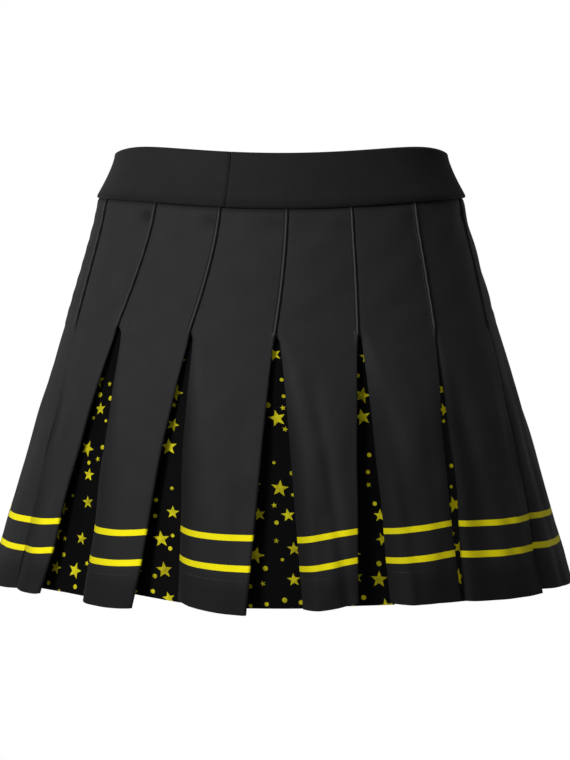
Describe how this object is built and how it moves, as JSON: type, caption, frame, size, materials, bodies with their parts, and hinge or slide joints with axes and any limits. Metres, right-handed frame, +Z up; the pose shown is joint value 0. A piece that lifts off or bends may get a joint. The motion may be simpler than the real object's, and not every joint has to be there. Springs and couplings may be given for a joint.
{
  "type": "pleated cheer skirt",
  "caption": "Flared knife-pleated skirt with a pull-on elastic waistband, printed inlays in the pleats and free pleats below a stitched-down hip.",
  "frame": {"origin": "centre of the waist opening, level with the waistband's top edge at the sides", "axes": "+X towards the side on the viewer's right when the front is seen, front faces -Y, +Z up"},
  "size_m": [0.4421, 0.3407, 0.3284],
  "materials": {
    "panel_knit": "brushed double-knit polyester, charcoal, soft matt sheen",
    "inlay_knit": "smooth near-black knit that carries the star print",
    "waistband_knit": "stretch knit, smooth on one section and finely ribbed on the other",
    "elastic": "woven elastic and seam tape, black",
    "thread": "sewing thread, charcoal",
    "stripe_print": "printed yellow on the panel knit",
    "star_print": "printed yellow stars and dots on the inlay knit",
    "label": "woven satin label, blank"
  },
  "bodies": {
    "skirt_top": {"waistband_plain_section": "waistband_knit", "waistband_ribbed_section": "waistband_knit", "waistband_elastic": "elastic", "waistband_facing": "waistband_knit", "waist_seam_tape": "elastic", "care_label": "label", "hip_panel_01": "panel_knit", "hip_panel_02": "panel_knit", "hip_panel_03": "panel_knit", "hip_panel_04": "panel_knit", "hip_panel_05": "panel_knit", "hip_panel_06": "panel_knit", "hip_panel_07": "panel_knit", "hip_panel_08": "panel_knit", "hip_panel_09": "panel_knit", "hip_panel_10": "panel_knit", "hip_panel_11": "panel_knit", "hip_panel_12": "panel_knit", "hip_panel_13": "panel_knit", "hip_panel_14": "panel_knit", "hip_panel_15": "panel_knit", "hip_panel_16": "panel_knit"},
    "pleat_01": {"pleat_panel_01": "panel_knit", "pleat_inlay_01": "inlay_knit"},
    "pleat_02": {"pleat_panel_02": "panel_knit", "pleat_inlay_02": "inlay_knit"},
    "pleat_03": {"pleat_panel_03": "panel_knit", "pleat_inlay_03": "inlay_knit"},
    "pleat_04": {"pleat_panel_04": "panel_knit", "pleat_inlay_04": "inlay_knit"},
    "pleat_05": {"pleat_panel_05": "panel_knit", "pleat_inlay_05": "inlay_knit"},
    "pleat_06": {"pleat_panel_06": "panel_knit", "pleat_inlay_06": "inlay_knit"},
    "pleat_07": {"pleat_panel_07": "panel_knit", "pleat_inlay_07": "inlay_knit"},
    "pleat_08": {"pleat_panel_08": "panel_knit", "pleat_inlay_08": "inlay_knit"},
    "pleat_09": {"pleat_panel_09": "panel_knit", "pleat_inlay_09": "inlay_knit"},
    "pleat_10": {"pleat_panel_10": "panel_knit", "pleat_inlay_10": "inlay_knit"},
    "pleat_11": {"pleat_panel_11": "panel_knit", "pleat_inlay_11": "inlay_knit"},
    "pleat_12": {"pleat_panel_12": "panel_knit", "pleat_inlay_12": "inlay_knit"},
    "pleat_13": {"pleat_panel_13": "panel_knit", "pleat_inlay_13": "inlay_knit"},
    "pleat_14": {"pleat_panel_14": "panel_knit", "pleat_inlay_14": "inlay_knit"},
    "pleat_15": {"pleat_panel_15": "panel_knit", "pleat_inlay_15": "inlay_knit"},
    "pleat_16": {"pleat_panel_16": "panel_knit", "pleat_inlay_16": "inlay_knit"}
  },
  "joints": [
    {"name": "pleat_flare_01", "type": "hinge", "parent": "skirt_top", "child": "pleat_01", "pos_m": [-0.13739, -0.06465, -0.13088], "axis": [-0.6386, 0.7696, 0], "range_deg": [0, 30]},
    {"name": "pleat_flare_02", "type": "hinge", "parent": "skirt_top", "child": "pleat_02", "pos_m": [-0.0935, -0.09963, -0.13321], "axis": [-0.8828, 0.4698, 0], "range_deg": [0, 30]},
    {"name": "pleat_flare_03", "type": "hinge", "parent": "skirt_top", "child": "pleat_03", "pos_m": [-0.03437, -0.11922, -0.13549], "axis": [-0.9869, 0.1614, 0], "range_deg": [0, 30]},
    {"name": "pleat_flare_04", "type": "hinge", "parent": "skirt_top", "child": "pleat_04", "pos_m": [0.02744, -0.12024, -0.13563], "axis": [-0.9917, -0.1283, 0], "range_deg": [0, 30]},
    {"name": "pleat_flare_05", "type": "hinge", "parent": "skirt_top", "child": "pleat_05", "pos_m": [0.08645, -0.10318, -0.13356], "axis": [-0.9032, -0.4292, 0], "range_deg": [0, 30]},
    {"name": "pleat_flare_06", "type": "hinge", "parent": "skirt_top", "child": "pleat_06", "pos_m": [0.13739, -0.06465, -0.13088], "axis": [-0.6386, -0.7696, 0], "range_deg": [0, 30]},
    {"name": "pleat_flare_07", "type": "hinge", "parent": "skirt_top", "child": "pleat_07", "pos_m": [0.16096, -0.01381, -0.13001], "axis": [-0.1496, -0.9887, 0], "range_deg": [0, 30]},
    {"name": "pleat_flare_08", "type": "hinge", "parent": "skirt_top", "child": "pleat_08", "pos_m": [0.15553, 0.03414, -0.13013], "axis": [0.3609, -0.9326, 0], "range_deg": [0, 30]},
    {"name": "pleat_flare_09", "type": "hinge", "parent": "skirt_top", "child": "pleat_09", "pos_m": [0.12722, 0.07553, -0.1314], "axis": [0.7231, -0.6908, 0], "range_deg": [0, 30]},
    {"name": "pleat_flare_10", "type": "hinge", "parent": "skirt_top", "child": "pleat_10", "pos_m": [0.08222, 0.10512, -0.13376], "axis": [0.9141, -0.4055, 0], "range_deg": [0, 30]},
    {"name": "pleat_flare_11", "type": "hinge", "parent": "skirt_top", "child": "pleat_11", "pos_m": [0.02674, 0.12033, -0.13565], "axis": [0.9922, -0.125, 0], "range_deg": [0, 30]},
    {"name": "pleat_flare_12", "type": "hinge", "parent": "skirt_top", "child": "pleat_12", "pos_m": [-0.0323, 0.11955, -0.13554], "axis": [0.9885, 0.1514, 0], "range_deg": [0, 30]},
    {"name": "pleat_flare_13", "type": "hinge", "parent": "skirt_top", "child": "pleat_13", "pos_m": [-0.08764, 0.10261, -0.1335], "axis": [0.9, 0.4359, 0], "range_deg": [0, 30]},
    {"name": "pleat_flare_14", "type": "hinge", "parent": "skirt_top", "child": "pleat_14", "pos_m": [-0.1323, 0.07041, -0.13113], "axis": [0.6843, 0.7292, 0], "range_deg": [0, 30]},
    {"name": "pleat_flare_15", "type": "hinge", "parent": "skirt_top", "child": "pleat_15", "pos_m": [-0.15801, 0.02693, -0.13006], "axis": [0.2878, 0.9577, 0], "range_deg": [0, 30]},
    {"name": "pleat_flare_16", "type": "hinge", "parent": "skirt_top", "child": "pleat_16", "pos_m": [-0.15966, -0.02066, -0.13003], "axis": [-0.2225, 0.9749, 0], "range_deg": [0, 30]}
  ],
  "couplings": [
    {"joint": "pleat_flare_02", "follows": "pleat_flare_01", "ratio": 1},
    {"joint": "pleat_flare_03", "follows": "pleat_flare_01", "ratio": 1},
    {"joint": "pleat_flare_04", "follows": "pleat_flare_01", "ratio": 1},
    {"joint": "pleat_flare_05", "follows": "pleat_flare_01", "ratio": 1},
    {"joint": "pleat_flare_06", "follows": "pleat_flare_01", "ratio": 1},
    {"joint": "pleat_flare_07", "follows": "pleat_flare_01", "ratio": 1},
    {"joint": "pleat_flare_08", "follows": "pleat_flare_01", "ratio": 1},
    {"joint": "pleat_flare_09", "follows": "pleat_flare_01", "ratio": 1},
    {"joint": "pleat_flare_10", "follows": "pleat_flare_01", "ratio": 1},
    {"joint": "pleat_flare_11", "follows": "pleat_flare_01", "ratio": 1},
    {"joint": "pleat_flare_12", "follows": "pleat_flare_01", "ratio": 1},
    {"joint": "pleat_flare_13", "follows": "pleat_flare_01", "ratio": 1},
    {"joint": "pleat_flare_14", "follows": "pleat_flare_01", "ratio": 1},
    {"joint": "pleat_flare_15", "follows": "pleat_flare_01", "ratio": 1},
    {"joint": "pleat_flare_16", "follows": "pleat_flare_01", "ratio": 1}
  ]
}
